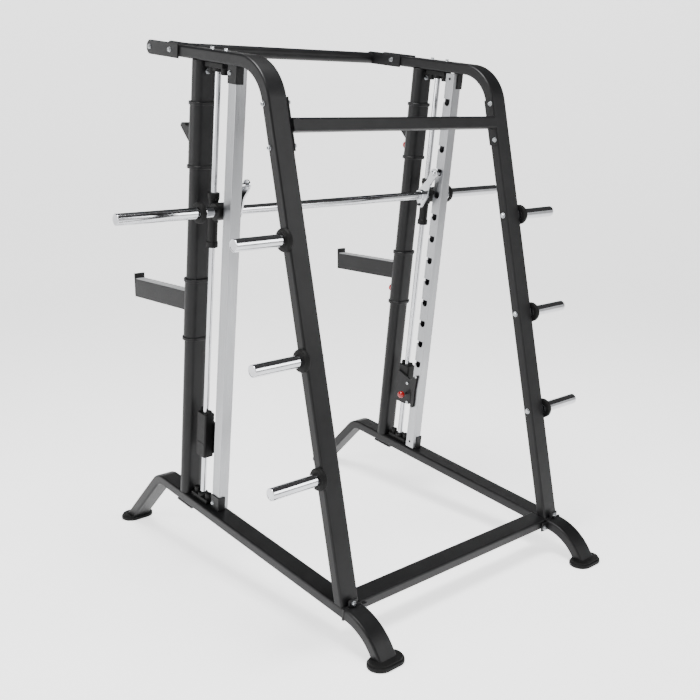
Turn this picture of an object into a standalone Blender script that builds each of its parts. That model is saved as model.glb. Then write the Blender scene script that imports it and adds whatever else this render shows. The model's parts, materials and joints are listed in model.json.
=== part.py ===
"""Smith machine: a steel frame that leans back, with a barbell guided on two rods.

Metres, +Z up, +Y to the rear, +X to the right of someone facing the machine.
"""
import math

import bmesh
import bpy
from mathutils import Matrix, Vector

# ---------------------------------------------------------------------------------------
# Driving dimensions. The machine is drawn square in its own frame, which then leans back:
# X across, Y to the rear, Z up the guide rods. Its origin lies midway between the rods,
# level with the top of the base rails.
# ---------------------------------------------------------------------------------------
LEAN = math.radians(7.0)            # guide rods and uprights lean back from plumb
ORIGIN_HEIGHT = 0.285               # machine origin above the floor
ORIGIN_SETBACK = 0.2925             # machine origin ahead of the middle of the footprint

GAP = 0.0003                        # between pieces that bear on each other
SIDE_X = 0.625                      # centre plane of each side frame and guide rod
TUBE_WIDTH = 0.090                  # flat frame tube, across
TUBE_DEPTH = 0.046                  # flat frame tube, in the plane of the side frame
TUBE_EDGE = 0.008                   # rounding of a frame tube's long edges

RAIL_REAR = 1.020                   # rear end of a base rail
FOOT_CORNER_Y = -0.3205             # where the rail turns down into the front foot
FOOT_PITCH = math.radians(51.5)     # slope of the front foot below the rail
FOOT_BEND = 0.087
PAD_LENGTH = 0.162                  # rubber foot pads, along X
PAD_WIDTH = 0.102
PAD_HEIGHT = 0.025
PAD_FRONT_Y = -0.618                # pad centres, plumb below the machine's own frame
PAD_REAR_Y = 1.203
HEEL_RADIUS = 0.222                 # arc of a rear foot, to the tube's centre line
HEEL_SWEEP = math.radians(60.0)

TOP_Z = 1.932                       # centre line of the top rails
TOP_FRONT = -0.240                  # front end of a top rail
TOP_CORNER_Y = 0.326                # where the top rail turns down into the rear leg
LEG_RUN = 0.3436                    # rear travel of the leg for each metre of drop
HOOP_BEND = 0.182
PLATE_FRONT = -0.455                # front end of the cheek plates that carry the pull-up bar
CHEEK_REAR = -0.215
CHEEK_HEIGHT = 0.058
CHEEK_THICKNESS = 0.008
PULL_UP_Y = -0.425
PULL_UP_Z = TOP_Z - 0.003
PULL_UP_RADIUS = 0.026

POST_X = 0.6225
POST_Y = -0.105
POST_WIDTH = 0.101                  # flat-oval post, across
POST_DEPTH = 0.061
SLEEVE_FRONT = POST_Y - POST_DEPTH / 2 - 0.005      # front face of the sleeves on the posts
ROD_RADIUS = 0.0125
RACK_X = 0.61075                    # locking rack: square tube behind each guide rod
RACK_Y = 0.1135
RACK_WIDTH = 0.0514
RACK_DEPTH = 0.053
RACK_WALL = 0.003
RACK_FOOT = 0.006
RACK_TOP = 1.904
BRACKET_TOP_Z = 1.838               # lower end of the upper rack brackets
SLOT_COUNT = 13
SLOT_PITCH = 0.1089
SLOT_FIRST_Z = 0.4675

BAR_Y = 0.045                       # barbell axis behind the guide rods
BAR_Z = 1.328
BAR_RADIUS = 0.01925
SLEEVE_RADIUS = 0.0235
BAR_HALF_LENGTH = 1.095
COLLAR_FACE_X = 0.732               # outer face of the barbell's collars
COLLAR_RADIUS = 0.043
COLLAR_WIDTH = 0.022
COLLAR_HUB_RADIUS = 0.027
COLLAR_HUB_X = 0.655                # where a collar's hub meets the carriage
CARRIAGE_BOTTOM = 1.171
CARRIAGE_TOP = 1.396
HOOK_X = 0.546
HOOK_TIP = (0.116, 1.445)

PEG_RADIUS = 0.0243
PEG_END_X = 0.908
PEG_COLLAR_RADIUS = 0.045
PEG_COLLAR_X = 0.695                # outer face of a peg's collar
PEG_HEIGHTS = {"lower": 0.472, "middle": 0.899, "upper": 1.325}
BRACE_Y = 0.410
BRACE_Z = 1.721

SPOTTER_BOTTOM = 0.738              # sliding sleeves on the posts
SPOTTER_TOP = 1.011
SPOTTER_PIN_Z = 0.799
SPOTTER_TIP = (-0.577, 0.805)       # lower front corner of an arm
SPOTTER_DEPTH = 0.082
JHOOK_BOTTOM = 1.480
JHOOK_TOP = 1.747
JHOOK_PIN_Z = 1.536
STOP_BOTTOM = 0.219                 # lower stops on the guide rods
STOP_TOP = 0.425
LATCH_PIVOT = (0.063, 0.350)
KNOB_CENTRE = (0.045, 0.284)

SIDES = {"right": 1, "left": -1}


# ---------------------------------------------------------------------------------------
# Scene, materials and basic shapes
# ---------------------------------------------------------------------------------------
def clear_scene():
    for obj in list(bpy.data.objects):
        bpy.data.objects.remove(obj, do_unlink=True)


def new_collection(name):
    collection = bpy.data.collections.new(name)
    bpy.context.scene.collection.children.link(collection)
    return collection


def principled(name, colour, roughness, metallic):
    material = bpy.data.materials.new(name)
    material.use_nodes = True
    shader = material.node_tree.nodes["Principled BSDF"]
    shader.inputs["Base Color"].default_value = (*colour, 1.0)
    shader.inputs["Roughness"].default_value = roughness
    shader.inputs["Metallic"].default_value = metallic
    return material


def place(name, mesh, material, location=(0, 0, 0), rotation=(0, 0, 0)):
    """Put a mesh on the leaning machine; without a material it is only a tool for Booleans."""
    obj = bpy.data.objects.new(name, mesh)
    obj.location = location
    obj.rotation_euler = rotation
    obj.parent = machine
    if material is None:
        cutters.objects.link(obj)
        obj.hide_render = True
        obj.display_type = "WIRE"
    else:
        parts.objects.link(obj)
        mesh.materials.append(material)
    return obj


def bevel(obj, width, segments=1):
    modifier = obj.modifiers.new("rounded edges", "BEVEL")
    modifier.width = width
    modifier.segments = segments
    modifier.limit_method = "ANGLE"
    modifier.angle_limit = math.radians(40)


def boolean(obj, other, operation):
    modifier = obj.modifiers.new(operation.lower(), "BOOLEAN")
    modifier.operation = operation
    modifier.solver = "EXACT"
    modifier.object = other


def cut(obj, *others):
    for other in others:
        boolean(obj, other, "DIFFERENCE")


def fuse(obj, *others):
    for other in others:
        boolean(obj, other, "UNION")


def box(name, size, centre, material=None, edge=0.0):
    mesh = bpy.data.meshes.new(name)
    bm = bmesh.new()
    bmesh.ops.create_cube(bm, size=1.0, matrix=Matrix.Diagonal((*size, 1.0)))
    bm.to_mesh(mesh)
    bm.free()
    obj = place(name, mesh, material, centre)
    if edge:
        bevel(obj, edge)
    return obj


TURN_TO = {
    "X": (0.0, math.pi / 2, 0.0),
    "Y": (-math.pi / 2, 0.0, 0.0),
    "Z": (0.0, 0.0, 0.0),
}


def rod(name, radius, start, end, axis, through, material=None, sides=24, edge=0.0):
    """Round bar from start to end along an axis, passing through a point on the other two."""
    mesh = bpy.data.meshes.new(name)
    bm = bmesh.new()
    bmesh.ops.create_cone(bm, cap_ends=True, segments=sides, radius1=radius, radius2=radius,
                          depth=abs(end - start))
    bm.to_mesh(mesh)
    bm.free()
    mesh.shade_smooth()
    mesh.set_sharp_from_angle(angle=math.radians(40))
    middle = (start + end) / 2
    centre = {"X": (middle, *through), "Y": (through[0], middle, through[1]), "Z": (*through, middle)}
    obj = place(name, mesh, material, centre[axis], TURN_TO[axis])
    if edge:
        bevel(obj, edge)
    return obj


def turned(name, profile, axis, centre, direction, material, steps):
    """Solid of revolution. The profile is (distance along the axis, radius), from the far end back."""
    mesh = bpy.data.meshes.new(name)
    points = [(radius, 0.0, along) for along, radius in profile]
    edges = [(i, i + 1) for i in range(len(points) - 1)]
    mesh.from_pydata(points, edges, [])
    rotation = [direction * angle for angle in TURN_TO[axis]]
    obj = place(name, mesh, material, centre, rotation)
    screw = obj.modifiers.new("turned", "SCREW")
    screw.axis = "Z"
    screw.steps = steps
    screw.render_steps = steps
    screw.use_merge_vertices = True
    screw.merge_threshold = 0.00001
    screw.use_smooth_shade = True
    return obj


def prism(name, outlines, axis, start, end, material=None, edge=0.0, segments=1):
    """Flat outlines, extruded along X (outline in Y, Z) or Z (outline in X, Y); inner ones are holes."""
    curve = bpy.data.curves.new(name + " outline", "CURVE")
    curve.dimensions = "2D"
    curve.fill_mode = "BOTH"
    curve.extrude = abs(end - start) / 2
    for outline in outlines:
        spline = curve.splines.new("POLY")
        spline.points.add(len(outline) - 1)
        for point, (u, v) in zip(spline.points, outline):
            point.co = (u, v, 0.0, 1.0)
        spline.use_cyclic_u = True
    holder = bpy.data.objects.new(name + " outline", curve)
    cutters.objects.link(holder)
    graph = bpy.context.evaluated_depsgraph_get()
    mesh = bpy.data.meshes.new_from_object(holder.evaluated_get(graph))
    bpy.data.objects.remove(holder)
    bm = bmesh.new()
    bm.from_mesh(mesh)
    bmesh.ops.remove_doubles(bm, verts=bm.verts, dist=0.00001)
    if len(outlines) == 1:
        bmesh.ops.dissolve_limit(bm, angle_limit=math.radians(0.5), verts=bm.verts, edges=bm.edges)
    bmesh.ops.recalc_face_normals(bm, faces=bm.faces)
    bm.to_mesh(mesh)
    bm.free()
    mesh.name = name
    middle = (start + end) / 2
    if axis == "X":
        obj = place(name, mesh, material, (middle, 0, 0), (math.pi / 2, 0, math.pi / 2))
    else:
        obj = place(name, mesh, material, (0, 0, middle))
    if edge:
        bevel(obj, edge, segments)
    return obj


# ---------------------------------------------------------------------------------------
# Outlines
# ---------------------------------------------------------------------------------------
def arc(centre, radius, first, last, steps):
    """Points from angle first to angle last, in degrees anticlockwise from the first axis."""
    points = []
    for i in range(steps + 1):
        angle = math.radians(first + (last - first) * i / steps)
        points.append(Vector((centre[0] + radius * math.cos(angle), centre[1] + radius * math.sin(angle))))
    return points


def fillet(start, corner, end, radius, steps):
    """Arc that rounds the corner of the path start, corner, end."""
    toward_start = (start - corner).normalized()
    toward_end = (end - corner).normalized()
    half = toward_start.angle(toward_end) / 2
    centre = corner + (toward_start + toward_end).normalized() * radius / math.sin(half)
    spoke = corner + toward_start * radius / math.tan(half) - centre
    sweep = math.pi - 2 * half
    if toward_start.x * toward_end.y - toward_start.y * toward_end.x > 0:
        sweep = -sweep
    return [centre + Matrix.Rotation(sweep * i / steps, 2) @ spoke for i in range(steps + 1)]


def ribbon(path, thickness, start_cut=None, end_cut=None):
    """Outline of a strip about a path; an end's cut is the direction of its end face."""
    left = []
    right = []
    for i, point in enumerate(path):
        steps = []
        if i > 0:
            steps.append((point - path[i - 1]).normalized())
        if i < len(path) - 1:
            steps.append((path[i + 1] - point).normalized())
        along = (steps[0] + steps[-1]).normalized()
        normal = Vector((-along.y, along.x))
        across = normal / normal.dot(Vector((-steps[0].y, steps[0].x)))
        face = {0: start_cut, len(path) - 1: end_cut}.get(i)
        if face is not None:
            across = face / face.dot(normal)
        left.append(point + across * thickness / 2)
        right.append(point - across * thickness / 2)
    return left + right[::-1]


def racetrack(width, depth, centre, steps=6):
    """Flat oval: straight front and back, half-round ends."""
    flat = (width - depth) / 2
    x, y = centre
    return (arc((x + flat, y), depth / 2, -90, 90, steps)
            + arc((x - flat, y), depth / 2, 90, 270, steps))


def rectangle(width, depth, centre):
    x, y = centre
    return [Vector((x + u * width / 2, y + v * depth / 2)) for u, v in ((-1, -1), (1, -1), (1, 1), (-1, 1))]


def rounded(corners, radius, steps=3):
    """The same outline with each corner rounded."""
    points = []
    for i, corner in enumerate(corners):
        points += fillet(corners[i - 1], corner, corners[(i + 1) % len(corners)], radius, steps)
    return points


def from_plumb(y, z):
    """A point given level and plumb, in the leaning machine's own Y and Z."""
    return Vector((y * math.cos(LEAN) - z * math.sin(LEAN), y * math.sin(LEAN) + z * math.cos(LEAN)))


LEVEL = Vector((math.cos(LEAN), math.sin(LEAN)))      # a level line, in the machine's own frame
PLUMB = Vector((-math.sin(LEAN), math.cos(LEAN)))
PAD_TOP = -ORIGIN_HEIGHT + PAD_HEIGHT + GAP


def where_level(start, direction, height):
    """Point on a sloping line at a plumb height above the machine's origin."""
    step = (height - start.dot(PLUMB)) / direction.dot(PLUMB)
    return start + direction * step


# ---------------------------------------------------------------------------------------
# Frame: base rails, feet, side hoops, cross tubes
# ---------------------------------------------------------------------------------------
def base_rail(name, x):
    """Flat tube under each side, bent down at the front into a foot, with a plate under the post."""
    relief = 0.0005
    thickness = TUBE_DEPTH - 2 * relief
    level = -TUBE_DEPTH / 2 + relief
    rear = Vector((RAIL_REAR, level))
    corner = Vector((FOOT_CORNER_Y, level))
    down = Vector((-math.cos(FOOT_PITCH), -math.sin(FOOT_PITCH)))
    toe = where_level(corner, down, PAD_TOP)
    path = [rear, *fillet(rear, corner, toe, FOOT_BEND, 8), toe]
    outline = ribbon(path, thickness, end_cut=LEVEL)
    half = TUBE_WIDTH / 2
    rail = prism(name, [outline], "X", x - half, x + half, black, TUBE_EDGE, 2)
    plate_size = (0.086, 0.116, 0.010)
    plate_y = -0.087
    fuse(rail, box(name + " post plate", plate_size, (x, plate_y, -TUBE_DEPTH + relief)))
    return rail


def rear_foot(name, x, side):
    """Arched foot behind each rail, welded to an end flange with a top and an inner bolt ear."""
    flange_y = RAIL_REAR + GAP
    flange_thickness = 0.010
    flange_end = flange_y + flange_thickness
    straight = 0.004
    overlap = 0.006
    shortest_toe = 0.012
    level = -TUBE_DEPTH / 2
    centre = (flange_end + straight, level - HEEL_RADIUS)
    heel = arc(centre, HEEL_RADIUS, 90, 90 - math.degrees(HEEL_SWEEP), 12)
    direction = (heel[-1] - heel[-2]).normalized()
    while heel[-1].dot(PLUMB) < PAD_TOP + shortest_toe:
        heel.pop()
    toe = where_level(heel[-1], direction, PAD_TOP)
    path = [Vector((flange_end - overlap, level)), *heel, toe]
    outline = ribbon(path, TUBE_DEPTH, end_cut=LEVEL)
    half = TUBE_WIDTH / 2
    foot = prism(name, [outline], "X", x - half, x + half, black, TUBE_EDGE, 2)
    middle = (flange_y + flange_end) / 2
    inner_x = x - side * 0.041
    flange_size = (TUBE_WIDTH + 0.004, flange_thickness, 0.050)
    top_size = (0.044, flange_thickness, 0.060)
    inner_size = (0.070, flange_thickness, 0.044)
    flange = box(name + " flange", flange_size, (x, middle, level), edge=0.002)
    top_ear = box(name + " top ear", top_size, (x, middle, 0.001), edge=0.004)
    inner_ear = box(name + " inner ear", inner_size, (inner_x, middle, -0.030), edge=0.004)
    fuse(foot, flange, top_ear, inner_ear)
    return foot


def foot_pad(name, x, plumb_y):
    """Rubber shoe lying flat on the floor, with a slightly smaller step under the tube."""
    base = from_plumb(plumb_y, -ORIGIN_HEIGHT)
    flat_on_floor = Matrix.Translation((x, base.x, base.y)) @ Matrix.Rotation(LEAN, 4, "X")
    shoe_height = 0.017
    step_scale = 0.93
    step_overlap = 0.001
    shoe_outline = racetrack(PAD_LENGTH, PAD_WIDTH, (0, 0), 7)
    step_outline = racetrack(PAD_LENGTH * step_scale, PAD_WIDTH * step_scale, (0, 0), 7)
    shoe = prism(name, [shoe_outline], "Z", 0.0, shoe_height, rubber, 0.003)
    step = prism(name + " top", [step_outline], "Z", shoe_height - step_overlap, PAD_HEIGHT)
    for layer in (shoe, step):
        layer.matrix_basis = flat_on_floor @ layer.matrix_basis
    fuse(shoe, step)
    return shoe


def side_hoop(name, x):
    """Top rail and rear leg of one side, bent from a single flat tube."""
    front = Vector((TOP_FRONT, TOP_Z))
    corner = Vector((TOP_CORNER_Y, TOP_Z))
    foot = Vector((leg_y(GAP), GAP))
    path = [front, *fillet(front, corner, foot, HOOP_BEND, 14), foot]
    outline = ribbon(path, TUBE_DEPTH, end_cut=Vector((1.0, 0.0)))
    half = TUBE_WIDTH / 2
    return prism(name, [outline], "X", x - half, x + half, black, TUBE_EDGE, 2)


def leg_y(z):
    """Centre line of the rear leg at a height."""
    return TOP_CORNER_Y + LEG_RUN * (TOP_Z - z)


def post(name, x):
    """Flat-oval upright that the hooks and spotter arms slide on."""
    outline = racetrack(POST_WIDTH, POST_DEPTH, (x, POST_Y))
    return prism(name, [outline], "Z", GAP, TOP_Z - TUBE_DEPTH / 2 - GAP, black)


def cross_tubes():
    """Tube between the rear ends of the base rails, and the brace between the legs."""
    half = SIDE_X - TUBE_WIDTH / 2 - GAP
    rear = rectangle(0.087, 0.045, (0.9755, -0.0225))
    prism("rear_base_tube", [rear], "X", -half, half, black, TUBE_EDGE, 2)
    along_leg = Vector((LEG_RUN, -1.0)).normalized()
    tube_half_height = 0.026
    tube_half_depth = 0.0215
    plate_half_height = 0.100
    plate_half_depth = 0.021
    plate_thickness = 0.006
    tube_end = half - 0.004
    corners = beside_leg(Vector((BRACE_Y, BRACE_Z)), along_leg, tube_half_height, tube_half_depth)
    brace = prism("rear_brace", [corners], "X", -tube_end, tube_end, black, 0.006)
    middle = Vector((leg_y(BRACE_Z), BRACE_Z))
    outline = beside_leg(middle, along_leg, plate_half_height, plate_half_depth)
    for label, side in SIDES.items():
        start = side * (half - plate_thickness)
        fuse(brace, prism(f"brace plate {label}", [outline], "X", start, side * half, edge=0.002))


def beside_leg(centre, along, half_height, half_depth):
    """Rectangle that lies along the sloping leg."""
    out = Vector((-along.y, along.x))
    corners = []
    for u, v in ((-1, -1), (1, -1), (1, 1), (-1, 1)):
        corners.append(centre + along * u * half_height + out * v * half_depth)
    return corners


def pull_up_bar():
    """Round bar welded to a cheek plate at each end, bolted inside the top rails."""
    inner = SIDE_X - TUBE_WIDTH / 2 - GAP
    end = inner - 0.004
    bar = rod("pull_up_bar", PULL_UP_RADIUS, -end, end, "X", (PULL_UP_Y, PULL_UP_Z), black)
    for label, side in SIDES.items():
        start = side * (inner - CHEEK_THICKNESS)
        plate = prism(f"inner cheek {label}", [cheek_outline()], "X", start, side * inner, edge=0.001)
        fuse(bar, plate)


def cheek_outline():
    """Bar-shaped plate along the top rail, rounded at the front."""
    half = CHEEK_HEIGHT / 2
    nose = arc((PLATE_FRONT + half, TOP_Z), half, 90, 270, 10)
    return [*nose, Vector((CHEEK_REAR, TOP_Z - half)), Vector((CHEEK_REAR, TOP_Z + half))]


def front_plate(name, side):
    """Outer cheek plate, with a round spacer that holds it off the inner one."""
    outer = SIDE_X + TUBE_WIDTH / 2 + GAP
    inner = SIDE_X - TUBE_WIDTH / 2 + GAP
    overlap = 0.004
    end = outer + CHEEK_THICKNESS
    plate = prism(name, [cheek_outline()], "X", side * outer, side * end, black, 0.001)
    spacer = rod(name + " spacer", 0.022, side * inner, side * (outer + overlap), "X",
                 (PULL_UP_Y, PULL_UP_Z))
    fuse(plate, spacer)
    return plate


# ---------------------------------------------------------------------------------------
# Guide rods, racks and weight pegs
# ---------------------------------------------------------------------------------------
def rod_clamp(name, x, base, up):
    """Cast clamp that holds one end of a guide rod between two bolt bosses."""
    clamp_size = (0.048, 0.122, 0.022)
    boss_y = 0.043
    boss_end = base + up * 0.046
    collar_end = base + up * 0.036
    socket_floor = base + up * 0.012
    clear_of_clamp = base + up * 0.130
    clamp = box(name, clamp_size, (x, 0.0, base + up * clamp_size[2] / 2), rubber, 0.004)
    fuse(clamp, rod(name + " collar", 0.0235, base + up * 0.002, collar_end, "Z", (x, 0.0)))
    for label, y in (("front", -boss_y), ("rear", boss_y)):
        fuse(clamp, rod(f"{name} {label} boss", 0.0155, base + up * 0.001, boss_end, "Z", (x, y), sides=16))
    cut(clamp, rod(name + " socket", ROD_RADIUS + GAP, socket_floor, clear_of_clamp, "Z", (x, 0.0)))
    return clamp


def guide_rod(name, x, low, high):
    """Chromed rod that a carriage and a stop slide on."""
    return rod(name, ROD_RADIUS, low, high, "Z", (x, 0.0), chrome)


def rack(name, side):
    """Polished square tube with notches in its inner face that the barbell's hooks drop into."""
    x = side * RACK_X
    outer = rounded(rectangle(RACK_WIDTH, RACK_DEPTH, (x, RACK_Y)), 0.0026)
    inner = rectangle(RACK_WIDTH - 2 * RACK_WALL, RACK_DEPTH - 2 * RACK_WALL, (x, RACK_Y))
    tube = prism(name, [outer, inner], "Z", RACK_FOOT, RACK_TOP, polished)
    face = side * (RACK_X - RACK_WIDTH / 2)
    outside = face - side * 0.010
    depth = face + side * 0.011
    seat_radius = 0.0155
    seat_y = RACK_Y - 0.001
    mouth_y = RACK_Y - 0.050
    for i in range(SLOT_COUNT):
        z = SLOT_FIRST_Z + i * SLOT_PITCH
        floor = z - 0.001
        roof = z + 0.016
        seat = arc((seat_y, floor), seat_radius, 180, 360, 6)
        mouth = [Vector((seat_y + seat_radius, roof)), Vector((mouth_y, roof)), Vector((mouth_y, floor))]
        cut(tube, prism(f"{name} notch {i}", [seat + mouth], "X", outside, depth))
    for label, z in (("foot", 0.037), ("top", 1.881)):
        cut(tube, rod(f"{name} {label} bolt hole", 0.0065, outside, depth, "X", (RACK_Y, z), sides=12))
    return tube


def rack_bracket(name, side, low, high):
    """Steel angle bolted round the outer rear corner of a rack."""
    wall = 0.005
    outer = side * (RACK_X + RACK_WIDTH / 2 + GAP)
    outside = outer + side * wall
    inner_end = side * 0.606
    front = RACK_Y - RACK_DEPTH / 2 + 0.002
    back = RACK_Y + RACK_DEPTH / 2 + GAP
    outline = [Vector((outer, front)), Vector((outside, front)), Vector((outside, back + wall)),
               Vector((inner_end, back + wall)), Vector((inner_end, back)), Vector((outer, back))]
    return prism(name, [outline], "Z", low, high, black, 0.001)


def weight_peg(name, side, z):
    """Chromed storage peg with a rubber-faced collar against the leg."""
    axis = (leg_y(z) + 0.010, z)
    leg_face = side * (SIDE_X + TUBE_WIDTH / 2 + GAP)
    peg = rod(name, PEG_RADIUS, leg_face, side * PEG_END_X, "X", axis, chrome, edge=0.003)
    fuse(peg, rod(name + " collar", PEG_COLLAR_RADIUS, leg_face, side * PEG_COLLAR_X, "X", axis))
    return peg


# ---------------------------------------------------------------------------------------
# Barbell, carriages, hooks and lower stops
# ---------------------------------------------------------------------------------------
def carriage(name, side):
    """Bearing tube that runs on the guide rod, with the barbell's bearing ring behind it."""
    x = side * SIDE_X
    cap = 0.024
    proud = 0.001
    clear = 0.010
    rod_axis = (x, 0.0)
    bar_axis = (BAR_Y, BAR_Z)
    body = rod(name, 0.021, CARRIAGE_BOTTOM, CARRIAGE_TOP, "Z", rod_axis, rubber)
    for label, low, high in (("lower", CARRIAGE_BOTTOM - proud, CARRIAGE_BOTTOM + cap),
                             ("upper", CARRIAGE_TOP - cap, CARRIAGE_TOP + proud)):
        fuse(body, rod(f"{name} {label} cap", 0.0245, low, high, "Z", rod_axis))
    fuse(body, rod(name + " ring", 0.036, side * 0.598, side * 0.652, "X", bar_axis))
    low = CARRIAGE_BOTTOM - clear
    high = CARRIAGE_TOP + clear
    cut(body, rod(name + " rod bore", ROD_RADIUS + GAP, low, high, "Z", rod_axis))
    cut(body, rod(name + " bar bore", BAR_RADIUS + 0.0004, side * 0.580, side * 0.670, "X", bar_axis))
    return body


def barbell():
    """Chromed shaft with a larger sleeve and a rubber collar at each end."""
    axis = (BAR_Y, BAR_Z)
    end = COLLAR_FACE_X - 0.002
    rod("bar_shaft", BAR_RADIUS, -end, end, "X", axis, chrome)
    for label, side in SIDES.items():
        rod(f"bar_sleeve_{label}", SLEEVE_RADIUS, side * (COLLAR_FACE_X + GAP), side * BAR_HALF_LENGTH,
            "X", axis, chrome, edge=0.002)
        inner_face = COLLAR_FACE_X - COLLAR_WIDTH
        collar = rod(f"bar_collar_{label}", COLLAR_RADIUS, side * inner_face, side * COLLAR_FACE_X,
                     "X", axis, rubber, edge=0.003)
        fuse(collar, rod(f"bar collar hub {label}", COLLAR_HUB_RADIUS, side * COLLAR_HUB_X,
                         side * (inner_face + 0.002), "X", axis))
        cut(collar, rod(f"bar collar bore {label}", BAR_RADIUS + GAP, side * 0.6, side * 0.8, "X", axis))


def hook(name, side):
    """Chromed hook clamped on the bar: a round tip with a pin towards the rack, and a short tail."""
    tip = Vector(HOOK_TIP)
    tail = Vector((0.051, 1.284))
    half = 0.004
    front_edge = [Vector((0.012, 1.334)), Vector((0.037, 1.363)), Vector((0.079, 1.411))]
    rear_edge = [Vector((0.104, 1.388)), Vector((0.096, 1.362)), Vector((0.0885, 1.318))]
    outline = [*front_edge, *arc(tip, 0.022, 148, -32, 8), *rear_edge,
               *arc(tail, 0.014, -15, -165, 6), Vector((0.017, 1.312))]
    plate = prism(name, [outline], "X", side * (HOOK_X - half), side * (HOOK_X + half), chrome, 0.001)
    boss = rod(name + " clamp boss", 0.0275, side * (HOOK_X - 0.014), side * (HOOK_X + 0.013), "X",
               (BAR_Y, BAR_Z))
    clearance = 0.0015
    pin_end = RACK_X - RACK_WIDTH / 2 - clearance
    pin = rod(name + " pin", 0.008, side * HOOK_X, side * pin_end, "X", HOOK_TIP, sides=16)
    fuse(plate, boss, pin)
    cut(plate, rod(name + " bore", BAR_RADIUS + GAP, side * 0.5, side * 0.6, "X", (BAR_Y, BAR_Z)))
    return plate


def stop_body(name, side):
    """Lower stop: block round the guide rod with two rubber bumpers on top and a side plate."""
    x = side * SIDE_X
    bumper_y = 0.024
    bumper_top = STOP_TOP + 0.017
    block = prism(name, [rectangle(0.050, 0.068, (x, 0.0))], "Z", STOP_BOTTOM, STOP_TOP, rubber, 0.006)
    for label, y in (("front", -bumper_y), ("rear", bumper_y)):
        fuse(block, rod(f"{name} {label} bumper", 0.0125, STOP_TOP - 0.002, bumper_top, "Z", (x, y),
                        sides=16))
    shoulder = [Vector((-0.026, 0.232)), *arc((0.068, 0.242), 0.010, -90, 0, 3),
                *arc((0.054, 0.346), 0.024, 0, 90, 4), Vector((-0.026, 0.392))]
    fuse(block, prism(name + " side plate", [shoulder], "X", side * 0.6015, side * 0.590))
    fuse(block, rod(name + " pivot", 0.007, side * 0.592, side * 0.5835, "X", LATCH_PIVOT, sides=16))
    low = STOP_BOTTOM - 0.010
    high = bumper_top + 0.013
    cut(block, rod(name + " rod bore", ROD_RADIUS + GAP, low, high, "Z", (x, 0.0)))
    cut(block, rod(name + " pin bore", 0.0055, side * 0.580, side * 0.611, "X", KNOB_CENTRE, sides=16))
    return block


def stop_latch(name, side):
    """Latch plate on the stop's pivot: a nose up towards the rack notch and a tail below."""
    pivot = Vector(LATCH_PIVOT)
    half = 0.003
    x = side * 0.578
    nose = [*arc(pivot, 0.014, 215, 100, 5), Vector((0.100, 0.396)), *arc((0.118, 0.402), 0.007, 130, -20, 4),
            Vector((0.122, 0.380)), Vector((0.118, 0.330))]
    tail = [*arc((0.107, 0.240), 0.011, 0, -180, 6), Vector((0.098, 0.290)), Vector((0.088, 0.330))]
    plate = prism(name, [nose + tail], "X", x - half, x + half, black)
    cut(plate, rod(name + " bore", 0.0075, side * 0.570, side * 0.590, "X", LATCH_PIVOT, sides=16))
    return plate


def pull_knob(name, centre, axis, direction, shaft_radius, shaft_end):
    """Ball-ended plunger: the profile runs from the crown of the ball back to the pin's tip."""
    ball = 0.0185
    crown_height = 1.88 * ball
    neck_radius = 0.010
    neck_height = 0.004
    profile = []
    for degrees in (0, 25, 50, 75, 100, 125):
        angle = math.radians(degrees)
        profile.append((crown_height - ball * (1 - math.cos(angle)), ball * math.sin(angle)))
    profile += [(neck_height, neck_radius), (0.0, neck_radius), (0.0, shaft_radius),
                (-shaft_end, shaft_radius), (-shaft_end, 0.0)]
    return turned(name, profile, axis, centre, direction, red, 16)


# ---------------------------------------------------------------------------------------
# Sliding sleeves: spotter arms and bar hooks on the front posts
# ---------------------------------------------------------------------------------------
def sleeve(name, side, low, high, pin_z):
    """Flat-oval sleeve with a rolled rim at each end and a bored boss for its pull pin."""
    centre = (side * POST_X, POST_Y)
    clearance = 0.002
    two_walls = 0.008
    rim = 0.020
    rim_height = 0.014
    proud = 0.001
    inner = racetrack(POST_WIDTH + clearance, POST_DEPTH + clearance, centre)
    outer = racetrack(POST_WIDTH + clearance + two_walls, POST_DEPTH + clearance + two_walls, centre)
    body = prism(name, [outer, inner], "Z", low, high, black)
    rim_inner = racetrack(POST_WIDTH + two_walls, POST_DEPTH + two_walls - 0.002, centre)
    rim_outer = racetrack(POST_WIDTH + rim, POST_DEPTH + rim, centre)
    for label, z in (("lower", low - proud), ("upper", high + proud - rim_height)):
        fuse(body, prism(f"{name} {label} rim", [rim_outer, rim_inner], "Z", z, z + rim_height))
    fuse(body, rod(name + " pin boss", 0.013, SLEEVE_FRONT + 0.002, SLEEVE_FRONT - 0.008, "Y",
                   (side * SIDE_X, pin_z), sides=16))
    return body


def bore_for_pin(body, side, pin_z):
    """Clear a sleeve's wall and boss for its pull pin."""
    cut(body, rod(body.name + " pin bore", 0.0065, SLEEVE_FRONT - 0.020, SLEEVE_FRONT + 0.010, "Y",
                  (side * SIDE_X, pin_z), sides=16))


def spotter_arm(name, side):
    """Safety arm: a level box section with an end lip, welded to a sleeve."""
    body = sleeve(name, side, SPOTTER_BOTTOM, SPOTTER_TOP, SPOTTER_PIN_Z)
    root = SLEEVE_FRONT + 0.002
    lip_height = 0.026
    lip_thickness = 0.010
    tip = Vector(SPOTTER_TIP)
    top = tip + PLUMB * SPOTTER_DEPTH
    behind_lip = top + LEVEL * lip_thickness
    outline = [tip, level_to(tip, root), level_to(top, root), behind_lip,
               behind_lip + PLUMB * lip_height, top + PLUMB * lip_height]
    fuse(body, prism(name + " box", [outline], "X", side * 0.600, side * 0.650, edge=0.0015))
    bore_for_pin(body, side, SPOTTER_PIN_Z)
    return body


def level_to(point, y):
    """Where a level line through a point reaches a depth in the machine's own frame."""
    return point + LEVEL * ((y - point.x) / LEVEL.x)


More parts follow.
